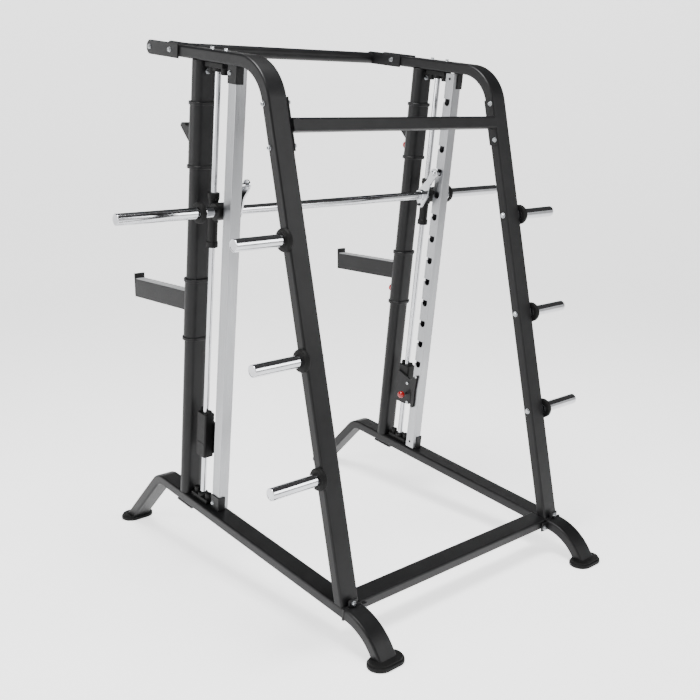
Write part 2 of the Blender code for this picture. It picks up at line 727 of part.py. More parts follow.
def arm_liner(name, side):
    """Plastic wear strip along the top of a spotter arm, just behind the lip."""
    thickness = PLUMB * 0.004
    start = Vector(SPOTTER_TIP) + PLUMB * (SPOTTER_DEPTH + GAP) + LEVEL * 0.0125
    end = level_to(start, SLEEVE_FRONT - 0.006)
    outline = [start, end, end + thickness, start + thickness]
    return prism(name, [outline], "X", side * 0.604, side * 0.646, liner)


def jhook(name, side):
    """Bar rest: a gusseted cradle welded high on its own sleeve."""
    body = sleeve(name, side, JHOOK_BOTTOM, JHOOK_TOP, JHOOK_PIN_Z)
    root = SLEEVE_FRONT + 0.002
    cradle = arc((-0.182, 1.672), 0.030, -48, -132, 6)
    outline = [Vector((root, 1.652)), *cradle, Vector((-0.223, 1.650)), Vector((-0.233, 1.636)),
               Vector((-0.189, 1.598)), Vector((root, 1.556))]
    fuse(body, prism(name + " cradle", [outline], "X", side * 0.604, side * 0.646, edge=0.0015))
    bore_for_pin(body, side, JHOOK_PIN_Z)
    return body


# ---------------------------------------------------------------------------------------
# Assembly
# ---------------------------------------------------------------------------------------
clear_scene()
parts = new_collection("smith_machine")
cutters = new_collection("cutters")

machine = bpy.data.objects.new("leaning frame", None)
machine.location = (0.0, -ORIGIN_SETBACK, ORIGIN_HEIGHT)
machine.rotation_euler = (-LEAN, 0.0, 0.0)
cutters.objects.link(machine)
machine.hide_render = True

black = principled("black powder coat", (0.025, 0.025, 0.026), 0.45, 0.0)
rubber = principled("black rubber", (0.012, 0.012, 0.012), 0.6, 0.0)
chrome = principled("hard chrome", (0.62, 0.62, 0.63), 0.12, 1.0)
polished = principled("polished steel", (0.60, 0.60, 0.61), 0.28, 1.0)
red = principled("red plastic", (0.45, 0.01, 0.015), 0.3, 0.0)
liner = principled("grey nylon", (0.30, 0.30, 0.30), 0.5, 0.0)

cross_tubes()
pull_up_bar()
barbell()
rail_underside = TOP_Z - TUBE_DEPTH / 2 - GAP
socket_depth = 0.0123
bracket_height = 0.0657
knob_face = SLEEVE_FRONT - 0.009
stop_knob_x = 0.5715
for label, side in SIDES.items():
    x = side * SIDE_X
    base_rail(f"base_rail_{label}", x)
    rear_foot(f"rear_foot_{label}", x, side)
    foot_pad(f"foot_pad_front_{label}", x, PAD_FRONT_Y)
    foot_pad(f"foot_pad_rear_{label}", x, PAD_REAR_Y)
    side_hoop(f"side_hoop_{label}", x)
    post(f"post_{label}", side * POST_X)
    front_plate(f"front_plate_{label}", side)
    rod_clamp(f"rod_clamp_bottom_{label}", x, GAP, 1)
    rod_clamp(f"rod_clamp_top_{label}", x, rail_underside, -1)
    guide_rod(f"guide_rod_{label}", x, GAP + socket_depth, rail_underside - socket_depth)
    rack(f"rack_{label}", side)
    rack_bracket(f"rack_bracket_bottom_{label}", side, GAP, GAP + bracket_height)
    rack_bracket(f"rack_bracket_top_{label}", side, BRACKET_TOP_Z, rail_underside)
    for position, height in PEG_HEIGHTS.items():
        weight_peg(f"weight_peg_{position}_{label}", side, height)
    carriage(f"carriage_{label}", side)
    hook(f"hook_{label}", side)
    stop_body(f"stop_body_{label}", side)
    stop_latch(f"stop_latch_{label}", side)
    pull_knob(f"stop_knob_{label}", (side * stop_knob_x, *KNOB_CENTRE), "X", -side, 0.005, 0.030)
    spotter_arm(f"spotter_arm_{label}", side)
    arm_liner(f"arm_liner_{label}", side)
    pull_knob(f"spotter_pin_{label}", (x, knob_face, SPOTTER_PIN_Z), "Y", -1, 0.006, 0.0132)
    jhook(f"jhook_{label}", side)
    pull_knob(f"jhook_pin_{label}", (x, knob_face, JHOOK_PIN_Z), "Y", -1, 0.006, 0.0132)
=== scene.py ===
"""Smith machine: a black steel frame that leans back, with a chromed barbell guided on two rods."""
import json
import math

import bmesh
import bpy
from mathutils import Matrix, Vector


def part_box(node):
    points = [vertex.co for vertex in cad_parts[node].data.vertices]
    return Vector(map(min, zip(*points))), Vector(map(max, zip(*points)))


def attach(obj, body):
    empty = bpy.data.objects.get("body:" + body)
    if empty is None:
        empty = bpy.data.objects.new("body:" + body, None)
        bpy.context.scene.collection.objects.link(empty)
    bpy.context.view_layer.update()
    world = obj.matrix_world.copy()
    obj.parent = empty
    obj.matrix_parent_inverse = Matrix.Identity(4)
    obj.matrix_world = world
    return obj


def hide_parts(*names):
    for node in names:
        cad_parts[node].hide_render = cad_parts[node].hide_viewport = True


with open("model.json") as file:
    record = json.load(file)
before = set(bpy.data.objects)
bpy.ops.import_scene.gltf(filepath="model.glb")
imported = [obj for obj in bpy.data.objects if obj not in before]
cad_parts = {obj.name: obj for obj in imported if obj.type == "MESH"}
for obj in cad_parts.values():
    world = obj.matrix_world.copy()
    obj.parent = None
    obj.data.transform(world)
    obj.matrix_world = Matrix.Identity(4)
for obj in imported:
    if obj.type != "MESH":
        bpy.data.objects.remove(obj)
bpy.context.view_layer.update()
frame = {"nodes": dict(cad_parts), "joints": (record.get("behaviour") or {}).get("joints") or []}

# --------------------------------------------------
# Lean
# The real machine is put together square and stands tilted back a few degrees, so that the
# bar travels on a slant. Pieces are drawn square, in metres: X across, Y to the rear and Z
# along the guide rods, from the level of the rods' lower ends on top of the base rails.
# --------------------------------------------------
travel = Vector(next(joint["axis"] for joint in frame["joints"] if joint["name"] == "bar_lift"))
lean_angle = math.atan2(travel.y, travel.z)
lean = Matrix.Rotation(-lean_angle, 4, "X")
SIDES = {"right": 1, "left": -1}


def extent(node, place):
    """Lowest and highest corner of a solid, measured square with a leaning frame."""
    to_place = place.inverted()
    points = [to_place @ vertex.co for vertex in frame["nodes"][node].data.vertices]
    low = Vector([min(point[i] for point in points) for i in range(3)])
    high = Vector([max(point[i] for point in points) for i in range(3)])
    return low, high


rod_low, rod_high = extent("guide_rod_right", lean)
rail_low, rail_high = extent("base_rail_right", lean)
machine = lean @ Matrix.Translation((0, (rod_low.y + rod_high.y) / 2, rail_high.z))
side_x = (rail_low.x + rail_high.x) / 2
tube_width = rail_high.x - rail_low.x
tube_depth = 0.046
gap = 0.0003                      # left between pieces that bear on each other


def height_over_floor(y, z):
    """Height of a point of the side plane above the floor."""
    return (machine @ Vector((0, y, z))).z


def slope_to_floor(corner, direction, height):
    """Where a sloping line comes down to a height above the floor."""
    start = height_over_floor(*corner)
    ahead = height_over_floor(*(corner + direction))
    return corner + direction * (height - start) / (ahead - start)


level = (machine.inverted().to_3x3() @ Vector((0, 1, 0))).yz       # a level line, to the rear
plumb = (machine.inverted().to_3x3() @ Vector((0, 0, 1))).yz       # straight up

# --------------------------------------------------
# Base rails
# Flat steel tube with rolled corners, one under each side, bent down at the front into a
# foot, with a steel plate welded under the post. Powder coated black after welding.
# --------------------------------------------------


def linear(colour):
    """An sRGB hex colour as linear RGBA."""
    channels = [int(colour[i:i + 2], 16) / 255 for i in (1, 3, 5)]
    return (*(c / 12.92 if c <= 0.04045 else ((c + 0.055) / 1.055) ** 2.4 for c in channels), 1.0)


def add_node(tree, kind, inputs=None, **settings):
    """Add a shader node; an input is linked if it is given a socket and set if it is a value."""
    node = tree.nodes.new("ShaderNode" + kind)
    for key, value in settings.items():
        setattr(node, key, value)
    for key, value in (inputs or {}).items():
        if isinstance(value, bpy.types.NodeSocket):
            tree.links.new(value, node.inputs[key])
        else:
            node.inputs[key].default_value = value
    return node


def mottle(tree, place, size, detail=3.0, stretch=(1, 1, 1)):
    """Soft noise whose patches are about size metres across, drawn out along an axis by stretch."""
    scaled = add_node(tree, "Mapping", {"Vector": place, "Scale": [1 / (size * s) for s in stretch]})
    noise = add_node(tree, "TexNoise", {"Vector": scaled.outputs[0], "Scale": 1.0, "Detail": detail})
    return noise.outputs["Fac"]


def surface(name, slot, metallic, tones, patch, roughness, grain, depth, **uniform):
    """Material whose colour drifts between two tones from patch to patch, and whose grain
    varies its roughness and stands depth metres high. Patch and grain are given as mottle
    takes them; noise seldom leaves its middle range, so that range is spread over the rest."""
    material = bpy.data.materials.new(name)
    material.use_nodes = True
    if slot:
        material["slot"] = slot
    tree = material.node_tree
    shader = tree.nodes["Principled BSDF"]
    shader.inputs["Metallic"].default_value = metallic
    for key, value in uniform.items():
        shader.inputs[key.replace("_", " ")].default_value = value
    upright = add_node(tree, "Mapping", {"Vector": add_node(tree, "TexCoord").outputs["Object"],
                                         "Rotation": (lean_angle, 0, 0)}).outputs["Vector"]
    relief = mottle(tree, upright, *grain)
    ramp = add_node(tree, "ValToRGB", {"Fac": mottle(tree, upright, *patch)})
    for stop, position, tone in zip(ramp.color_ramp.elements, (0.3, 0.7), tones):
        stop.position = position
        stop.color = linear(tone)
    rough = add_node(tree, "MapRange", {"Value": relief, "From Min": 0.3, "From Max": 0.7,
                                        "To Min": roughness[0], "To Max": roughness[1]})
    bump = add_node(tree, "Bump", {"Height": relief, "Distance": depth, "Strength": 1.0})
    tree.links.new(ramp.outputs["Color"], shader.inputs["Base Color"])
    tree.links.new(rough.outputs["Result"], shader.inputs["Roughness"])
    tree.links.new(bump.outputs["Normal"], shader.inputs["Normal"])
    return material


def powder_coated_steel():
    """Satin black polyester powder: a fine orange peel spreads highlights into soft bands. Real
    peel is about 1 mm; it is drawn at 4 mm so that it shows."""
    return surface("powder-coated steel", "frame_paint", 0.0, ("#0b0b0c", "#121213"), (0.120,),
                   (0.36, 0.48), (0.004, 2.0), 0.00025, Specular_IOR_Level=0.22)


def tidy_mesh(bm, name, transform=Matrix()):
    """Close a bmesh into a mesh with its faces pointing out."""
    bmesh.ops.transform(bm, matrix=transform, verts=bm.verts)
    bmesh.ops.remove_doubles(bm, verts=bm.verts, dist=0.000002)
    bmesh.ops.recalc_face_normals(bm, faces=bm.faces)
    mesh = bpy.data.meshes.new(name)
    bm.to_mesh(mesh)
    bm.free()
    return mesh


def arc(centre, radius, first, last, steps):
    """Points round a centre, from one angle to another in degrees."""
    angles = [math.radians(first + (last - first) * i / steps) for i in range(steps + 1)]
    return [Vector((centre[0] + radius * math.cos(a), centre[1] + radius * math.sin(a))) for a in angles]


def bend(start, corner, end, radius, steps=24):
    """Arc that rounds the corner between two straight runs."""
    one = (start - corner).normalized()
    two = (end - corner).normalized()
    half = one.angle(two) / 2
    centre = corner + (one + two).normalized() * radius / math.sin(half)
    spoke = corner + one * radius / math.tan(half) - centre
    sweep = math.pi - 2 * half
    if one.x * two.y - one.y * two.x > 0:
        sweep = -sweep
    return [centre + Matrix.Rotation(sweep * i / steps, 2) @ spoke for i in range(steps + 1)]


def rolled_section(width, depth, corner, steps=6):
    """Cross-section of a flat tube with rolled corners: across and off the path."""
    points = []
    for i, (u, v) in enumerate(((1, 1), (-1, 1), (-1, -1), (1, -1))):
        centre = (u * (width / 2 - corner), v * (depth / 2 - corner))
        points += arc(centre, corner, 90 * i, 90 * (i + 1), steps)
    return points


def skin(name, rings, loop=False):
    """Skin through rings of points, closed at both ends, or on itself round a hole."""
    bm = bmesh.new()
    rings = [[bm.verts.new(point) for point in ring] for ring in rings]
    pairs = list(zip(rings, rings[1:]))
    if loop:
        pairs.append((rings[-1], rings[0]))
    for one, two in pairs:
        for i in range(len(one)):
            j = (i + 1) % len(one)
            bm.faces.new((one[i], one[j], two[j], two[i]))
    if not loop:
        bm.faces.new(rings[0])
        bm.faces.new(rings[-1])
    return tidy_mesh(bm, name)


def bent_tube(name, x, path, width, depth, end_cut):
    """Flat tube along a path in the side plane; end_cut is the direction of its last face."""
    rings = []
    for i, point in enumerate(path):
        near = path[max(i - 1, 0):i + 2]
        steps = [(b - a).normalized() for a, b in zip(near, near[1:])]
        along = (steps[0] + steps[-1]).normalized()
        normal = Vector((-along.y, along.x))
        off = normal / normal.dot(Vector((-steps[0].y, steps[0].x)))
        if i == len(path) - 1:
            off = end_cut / end_cut.dot(normal)
        rings.append([(x + u, *(point + off * v)) for u, v in rolled_section(width, depth, tube_corner)])
    return skin(name, rings)


def block(low, high, edge):
    """Rectangular block between two corners, with eased edges."""
    low, high = Vector(low), Vector(high)
    bm = bmesh.new()
    size = [abs(a - b) for a, b in zip(low, high)]
    bmesh.ops.create_cube(bm, size=1.0, matrix=Matrix.LocRotScale((low + high) / 2, None, size))
    bmesh.ops.bevel(bm, geom=bm.edges[:], offset=edge, segments=3, profile=0.5, affect="EDGES")
    return tidy_mesh(bm, "block")


def joined(meshes, name):
    """Several meshes of one welded or moulded piece, as one mesh."""
    bm = bmesh.new()
    for mesh in meshes:
        bm.from_mesh(mesh)
        bpy.data.meshes.remove(mesh)
    mesh = bpy.data.meshes.new(name)
    bm.to_mesh(mesh)
    bm.free()
    return mesh


def fit(name, meshes, body, material, *nodes, place=machine):
    """Put a piece on its body, smooth up to its sharp edges, in place of the solids named."""
    mesh = joined(meshes if isinstance(meshes, list) else [meshes], name)
    mesh.transform(place)
    mesh.materials.append(material)
    mesh.shade_smooth()
    mesh.set_sharp_from_angle(angle=math.radians(32))
    piece = bpy.data.objects.new(name, mesh)
    bpy.context.scene.collection.objects.link(piece)
    normals = piece.modifiers.new("flat faces stay flat", "WEIGHTED_NORMAL")
    normals.keep_sharp = True
    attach(piece, body)
    if nodes:
        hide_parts(*nodes)


coated = powder_coated_steel()
tube_corner = 0.009
rail_depth = 0.045
rail_axis = -rail_depth / 2
foot_corner = Vector((-0.3205, rail_axis))
foot_pitch = math.radians(51.5)
foot_slope = Vector((-math.cos(foot_pitch), -math.sin(foot_pitch)))
pad_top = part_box("foot_pad_front_right")[1].z + gap
foot_bend = 0.087
rail_rear = Vector((1.020, rail_axis))
post_plate = Vector((0.086, 0.116, 0.0095))
post_plate_y = -0.087
post_plate_z = -0.0502

for label, side in SIDES.items():
    x = side * side_x
    toe = slope_to_floor(foot_corner, foot_slope, pad_top)
    path = [rail_rear, *bend(rail_rear, foot_corner, toe, foot_bend), toe]
    rail = bent_tube("rail", x, path, tube_width, rail_depth, level)
    plate_centre = Vector((x, post_plate_y, post_plate_z))
    under_post = block(plate_centre - post_plate / 2, plate_centre + post_plate / 2, 0.002)
    fit(f"base_rail_tube_{label}", [rail, under_post], "frame", coated, f"base_rail_{label}")

# --------------------------------------------------
# Rear feet
# A short arched tube behind each rail, welded to an end flange whose top and inner ears take
# the bolts that draw it up to the rail and the rear base tube.
# --------------------------------------------------
flange_front = rail_rear.x + gap
flange_thickness = 0.010
flange_back = flange_front + flange_thickness
tube_axis = -tube_depth / 2
heel_radius = 0.222
heel_start = flange_back + 0.004
shortest_toe = 0.012
ear_edge = 0.004

for label, side in SIDES.items():
    x = side * side_x
    centre = (heel_start, tube_axis - heel_radius)
    heel = arc(centre, heel_radius, 90, 30, 40)
    while height_over_floor(*heel[-1]) < pad_top + shortest_toe:
        heel.pop()
    toe = slope_to_floor(heel[-1], (heel[-1] - heel[-2]).normalized(), pad_top)
    path = [Vector((flange_front + 0.004, tube_axis)), *heel, toe]
    foot = bent_tube("foot", x, path, tube_width, tube_depth, level)
    flange = block((x - 0.047, flange_front, -0.048), (x + 0.047, flange_back, 0.002), 0.002)
    top_ear = block((x - 0.022, flange_front, -0.029), (x + 0.022, flange_back, 0.031), ear_edge)
    inner_low = (x - side * 0.006, flange_front, -0.052)
    inner_high = (x - side * 0.076, flange_back, -0.008)
    parts = [foot, flange, top_ear, block(inner_low, inner_high, ear_edge)]
    fit(f"rear_foot_arch_{label}", parts, "frame", coated, f"rear_foot_{label}")

# --------------------------------------------------
# Foot pads
# Moulded rubber shoes, flat ovals with a rolled rim, pushed on under each foot; they lie
# flat on the floor although the machine leans.
# --------------------------------------------------


def epdm_rubber():
    """EPDM rubber: dull deep black with a dusty bloom and no clear highlight."""
    return surface("EPDM rubber", "rubber", 0.0, ("#070707", "#0d0d0d"), (0.030,),
                   (0.55, 0.75), (0.0025, 2.0), 0.0002, Specular_IOR_Level=0.16)


def oval(length, width, centre=(0, 0), steps=16):
    """Flat oval with half-round ends, its long way along the first axis."""
    flat = (length - width) / 2
    x, y = centre
    return (arc((x + flat, y), width / 2, -90, 90, steps) + arc((x - flat, y), width / 2, 90, 270, steps))


def oval_stack(name, length, width, centre, levels, loop=False):
    """Skin through ovals, each given by its inset and its height."""
    rings = []
    for inset, z in levels:
        outline = oval(length - 2 * inset, width - 2 * inset, centre)
        rings.append([(*point, z) for point in outline])
    return skin(name, rings, loop)


rubber = epdm_rubber()
pad_profile = ((0.0030, 0.0), (0.0010, 0.001), (0.0, 0.003), (0.0, 0.0125), (0.0008, 0.0150),
               (0.0028, 0.0165), (0.0060, 0.0170), (0.0063, 0.0225), (0.0075, 0.0243), (0.0100, 0.0250),
               (0.0170, 0.0250))

for end in ("front", "rear"):
    for label in SIDES:
        node = f"foot_pad_{end}_{label}"
        low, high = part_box(node)
        middle = (low + high) / 2
        shoe = oval_stack(node, high.x - low.x, high.y - low.y, middle.xy, pad_profile)
        fit(f"rubber_shoe_{end}_{label}", shoe, "frame", rubber, node, place=Matrix())

# --------------------------------------------------
# Side hoops
# The top rail and the rear leg of each side are one flat tube, mandrel bent at the top rear
# corner. The leg is mitred to stand flat on the base rail and is welded to it.
# --------------------------------------------------
top_z = 1.932
top_front = -0.240
top_corner = Vector((0.326, top_z))
leg_run = 0.3436                  # the leg runs this far back for each metre that it drops
hoop_bend = 0.182


def leg_y(z):
    """Middle of the rear leg at a height."""
    return top_corner.x + leg_run * (top_z - z)


rail_front = Vector((top_front, top_z))
leg_foot = Vector((leg_y(gap), gap))
hoop_path = [rail_front, *bend(rail_front, top_corner, leg_foot, hoop_bend, 40), leg_foot]
mitre = Vector((1.0, 0.0))

for label, side in SIDES.items():
    hoop = bent_tube("hoop", side * side_x, hoop_path, tube_width, tube_depth, mitre)
    fit(f"hoop_tube_{label}", hoop, "frame", coated, f"side_hoop_{label}")

# --------------------------------------------------
# Posts
# Flat-oval steel uprights in front of the guide rods, that the spotter arms and bar rests
# slide on. Cut square at both ends and held by a screw through the front and the back.
# --------------------------------------------------


def plate(outlines, axis, start, end, edge=0.0008):
    """Flat outlines, solid from start to end along an axis; an outline inside another is a hole."""
    curve = bpy.data.curves.new("plate", "CURVE")
    curve.dimensions = "2D"
    curve.fill_mode = "BOTH"
    curve.extrude = abs(end - start) / 2 - edge
    curve.bevel_depth = edge
    curve.bevel_resolution = 1
    curve.offset = -edge
    for outline in outlines:
        spline = curve.splines.new("POLY")
        spline.points.add(len(outline) - 1)
        for point, (u, v) in zip(spline.points, outline):
            point.co = (u, v, 0.0, 1.0)
        spline.use_cyclic_u = True
    holder = bpy.data.objects.new("plate", curve)
    bpy.context.scene.collection.objects.link(holder)
    graph = bpy.context.evaluated_depsgraph_get()
    flat = bpy.data.meshes.new_from_object(holder.evaluated_get(graph))
    bpy.data.objects.remove(holder)
    bm = bmesh.new()
    bm.from_mesh(flat)
    bpy.data.meshes.remove(flat)
    middle = (start + end) / 2
    turns = {
        "X": Matrix(((0, 0, 1, middle), (1, 0, 0, 0), (0, 1, 0, 0), (0, 0, 0, 1))),
        "Y": Matrix(((1, 0, 0, 0), (0, 0, -1, middle), (0, 1, 0, 0), (0, 0, 0, 1))),
        "Z": Matrix.Translation((0, 0, middle)),
    }
    return tidy_mesh(bm, "plate", turns[axis])


def turned(profile, axis, centre, direction=1, sides=48):
    """Solid of revolution from (distance along the axis, radius) pairs, closed into a ring
    when neither end is on the axis."""
    bm = bmesh.new()
    rings = []
    for along, radius in profile:
        if radius == 0:
            rings.append([bm.verts.new((0, 0, along))])
            continue
        turns = [2 * math.pi * i / sides for i in range(sides)]
        rings.append([bm.verts.new((radius * math.cos(a), radius * math.sin(a), along)) for a in turns])
    pairs = list(zip(rings, rings[1:]))
    if profile[0][1] > 0 and profile[-1][1] > 0:
        pairs.append((rings[-1], rings[0]))
    for one, two in pairs:
        for i in range(sides):
            j = (i + 1) % sides
            corners = [one[i % len(one)], one[j % len(one)], two[j % len(two)], two[i % len(two)]]
            corners = list(dict.fromkeys(corners))
            if len(corners) > 2:
                bm.faces.new(corners)
    tilt = {"X": (math.pi / 2, "Y"), "Y": (-math.pi / 2, "X"), "Z": (0, "Z")}[axis]
    turn = Matrix.Rotation(tilt[0], 4, tilt[1])
    if direction < 0:
        turn = turn @ Matrix.Rotation(math.pi, 4, "X")
    return tidy_mesh(bm, "turned", Matrix.Translation(centre) @ turn)


def bar_profile(length, radius, edge=0.0012):
    """Profile of a round bar with eased ends, from its foot up."""
    angles = [math.pi / 2 * i / 4 for i in range(5)]
    foot = [(edge - edge * math.cos(a), radius - edge + edge * math.sin(a)) for a in angles]
    head = [(length - along, r) for along, r in reversed(foot)]
    return [(0, 0), *foot, *head, (length, 0)]


post_low, post_high = extent("post_right", machine)
post_width = post_high.x - post_low.x
post_depth = post_high.y - post_low.y
post_x = (post_low.x + post_high.x) / 2
post_y = (post_low.y + post_high.y) / 2

burr = 0.0005
post_ends = ((burr, post_low.z), (0.0, post_low.z + burr), (0.0, post_high.z - burr), (burr, post_high.z))

for label, side in SIDES.items():
    upright = oval_stack("post", post_width, post_depth, (side * post_x, post_y), post_ends)
    fit(f"post_tube_{label}", upright, "frame", coated, f"post_{label}")

# --------------------------------------------------
# Cross tubes
# A flat tube between the rear ends of the base rails, and a brace between the legs with a
# plate welded on each end that bolts to the legs' inner faces.
# --------------------------------------------------
tube_low, tube_high = extent("rear_base_tube", machine)
half_span = tube_high.x


def cross_tube(name, half, centre, off, width, depth):
    """Flat tube along X; off is the direction of its width in the side plane."""
    across = Vector((-off.y, off.x))
    section = [centre + off * u + across * v for u, v in rolled_section(width, depth, tube_corner)]
    return skin(name, [[(x, *point) for point in section] for x in (-half, half)])


tube_middle = ((tube_low + tube_high) / 2).yz
tube_size = (tube_high - tube_low).yz
rear_tube = cross_tube("rear tube", half_span, tube_middle, Vector((1, 0)), tube_size.x, tube_size.y)
fit("rear_tube", rear_tube, "frame", coated, "rear_base_tube")

drop = Vector((leg_run, -1.0)).normalized()
out = Vector((-drop.y, drop.x))
brace_z = 1.721
brace_centre = Vector((0.410, brace_z))
brace_half = half_span - 0.004
brace_height = 0.052
brace_depth = 0.043
brace_plate_half = 0.100
brace_plate_thickness = 0.006
brace_middle = Vector((leg_y(brace_z), brace_z))
brace = [cross_tube("brace", brace_half, brace_centre, drop, brace_height, brace_depth)]
for side in SIDES.values():
    outline = [brace_middle + drop * u * brace_plate_half + out * v * 0.021
               for u, v in ((-1, -1), (1, -1), (1, 1), (-1, 1))]
    brace.append(plate([outline], "X", side * (half_span - brace_plate_thickness), side * half_span))
fit("rear_brace_tube", brace, "frame", coated, "rear_brace")

# --------------------------------------------------
# Pull-up bar and cheek plates
# A round steel tube welded between two bar-shaped cheek plates; each is bolted through the
# top rail to a matching plate outside, with a round spacer between them at the nose.
# --------------------------------------------------
cheek_front = -0.455
cheek_rear = -0.215
cheek_height = 0.058
cheek_thickness = 0.008
cheek_edge = 0.0012
nose = Vector((cheek_front + cheek_height / 2, top_z))
cheek = [*arc(nose, cheek_height / 2, 90, 270, 24), Vector((cheek_rear, top_z - cheek_height / 2)),
         Vector((cheek_rear, top_z + cheek_height / 2))]
pull_up = Vector((-0.425, top_z - 0.003))
inner_face = side_x - tube_width / 2
outer_face = side_x + tube_width / 2
plate_back = outer_face + gap
plate_skin = plate_back + cheek_thickness

grip_half = half_span - 0.004
grip = [turned(bar_profile(2 * grip_half, 0.026), "X", (-grip_half, *pull_up), sides=64)]
for side in SIDES.values():
    grip.append(plate([cheek], "X", side * (half_span - cheek_thickness), side * half_span, cheek_edge))
fit("pull_up_tube", grip, "frame", coated, "pull_up_bar")
for label, side in SIDES.items():
    outer = plate([cheek], "X", side * plate_back, side * plate_skin, cheek_edge)
    spacer = turned(bar_profile(tube_width, 0.022), "X", (side * (inner_face + gap), *pull_up), side)
    fit(f"cheek_plate_{label}", [outer, spacer], "frame", coated, f"front_plate_{label}")

# --------------------------------------------------
# Rod clamps
# Moulded nylon blocks that hold each end of a guide rod in a collar, between two bosses
# whose screws go through the rail.
# --------------------------------------------------


def moulded_nylon():
    """Glass-filled nylon: soot black, dull, with a fine spark-eroded grain. The real grain is
    about 0.3 mm; it is drawn at 3 mm so that it shows."""
    return surface("moulded nylon", "moulded_black", 0.0, ("#080808", "#0f0f0f"), (0.050,),
                   (0.40, 0.56), (0.003,), 0.00015, Specular_IOR_Level=0.16)


nylon = moulded_nylon()
clamp_screw_y = 0.043
top_face = top_z - tube_depth / 2 - gap
clamp_collar = ((0.002, 0.0128), (0.002, 0.0235), (0.0335, 0.0235), (0.0355, 0.0215), (0.0355, 0.0145),
                (0.0345, 0.0128))
clamp_boss = ((0.001, 0), (0.001, 0.0155), (0.042, 0.0150), (0.0445, 0.0135), (0.0455, 0.0110),
              (0.0455, 0.0075), (0.0380, 0.0070), (0.0380, 0))

for label, side in SIDES.items():
    x = side * side_x
    for end, base, up in (("bottom", gap, 1), ("top", top_face, -1)):
        parts = [block((x - 0.024, -0.061, base), (x + 0.024, 0.061, base + up * 0.022), 0.004)]
        parts.append(turned(clamp_collar, "Z", (x, 0, base), up))
        for y in (-clamp_screw_y, clamp_screw_y):
            parts.append(turned(clamp_boss, "Z", (x, y, base), up, 32))
        fit(f"clamp_{end}_{label}", parts, "frame", nylon, f"rod_clamp_{end}_{label}")

# --------------------------------------------------
# Guide rods
# 25 mm round steel bar, ground and hard chromed, that the carriages run on.
# --------------------------------------------------


def hard_chrome(name, along):
    """Hard chrome over ground steel: mirror bright, with faint grinding lines round the bar,
    drawn coarser than the real 0.1 mm grit."""
    stretch = [40.0, 40.0, 40.0]
    stretch["XYZ".index(along)] = 1.0
    return surface(name, "hard_chrome", 1.0, ("#b4b5b8", "#c6c7ca"), (0.080,),
                   (0.09, 0.16), (0.0015, 2.0, stretch), 0.000002)


chrome_upright = hard_chrome("hard chrome, upright bar", "Z")
for label in SIDES:
    node = f"guide_rod_{label}"
    low, high = extent(node, machine)
    middle = (low + high) / 2
    profile = bar_profile(high.z - low.z, (high.x - low.x) / 2)
    rod = turned(profile, "Z", (middle.x, middle.y, low.z), sides=64)
    fit(f"ground_rod_{label}", rod, "frame", chrome_upright, node)

# --------------------------------------------------
# Locking racks
# Drawn and polished square steel tube behind each guide rod. Notches with a round seat are
# cut through its inner corner, for the barbell's hooks, with a bolt hole near each end.
# --------------------------------------------------


def drawn_steel():
    """Drawn, belt-polished steel: long fine scratches along the tube blur what it reflects."""
    return surface("drawn steel, belt polished", "polished_steel", 1.0, ("#8b8c8e", "#a0a1a3"),
                   (0.150, 3.0, (1, 1, 4)), (0.26, 0.40), (0.0016, 4.0, (1, 1, 80)), 0.00002)


def cut_away(mesh, cutter_mesh):
    """The mesh of a piece with closed shapes cut out of it."""
    piece = bpy.data.objects.new("piece", mesh)
    cutter = bpy.data.objects.new("cutter", cutter_mesh)
    for obj in (piece, cutter):
        bpy.context.scene.collection.objects.link(obj)
    modifier = piece.modifiers.new("cut", "BOOLEAN")
    modifier.object = cutter
    modifier.solver = "EXACT"
    evaluated = piece.evaluated_get(bpy.context.evaluated_depsgraph_get())
    result = bpy.data.meshes.new_from_object(evaluated)
    for obj in (piece, cutter):
        bpy.data.objects.remove(obj)
    return result


polished = drawn_steel()
rack_wall = 0.003
notch_count = 13
notch_pitch = 0.1089
first_notch = 0.4675
notch_depth = 0.011
rack_bolt_heights = (0.037, 1.881)
outside = 0.010                   # the cutters start this far outside the tube's face

for label, side in SIDES.items():
    low, high = extent(f"rack_{label}", machine)
    middle = (low + high) / 2
    rack_y = middle.y
    width = high.x - low.x
    depth = high.y - low.y
    outer = [(middle.x + u, middle.y + v) for u, v in rolled_section(width, depth, 0.0032)]
    inner = [(middle.x + u, middle.y + v)
             for u, v in rolled_section(width - 2 * rack_wall, depth - 2 * rack_wall, 0.001, 1)]
    tube = plate([outer, inner], "Z", low.z, high.z, 0.0004)
    face = middle.x - side * width / 2
    start = face - side * outside
    cutters = []
    for i in range(notch_count):
        z = first_notch + i * notch_pitch
        seat = arc((rack_y - 0.001, z - 0.001), 0.0155, 180, 360, 20)
        roof = arc((rack_y + 0.0125, z + 0.014), 0.002, 0, 90, 4)
        mouth = [*roof, Vector((rack_y - 0.05, z + 0.016)), Vector((rack_y - 0.05, z - 0.001))]
        cutters.append(plate([seat + mouth], "X", start, face + side * notch_depth, 0.0))
    for z in rack_bolt_heights:
        hole = bar_profile(outside + notch_depth, 0.0065)
        cutters.append(turned(hole, "X", (start, rack_y, z), side, 24))
    notched = cut_away(tube, joined(cutters, "notches"))
    fit(f"rack_tube_{label}", notched, "frame", polished, f"rack_{label}")

# --------------------------------------------------
# Rack brackets
# Laser-cut and folded steel angles round the outer rear corner of each rack, welded to the
# rails and bolted through the rack.
# --------------------------------------------------
bracket_wall = 0.005

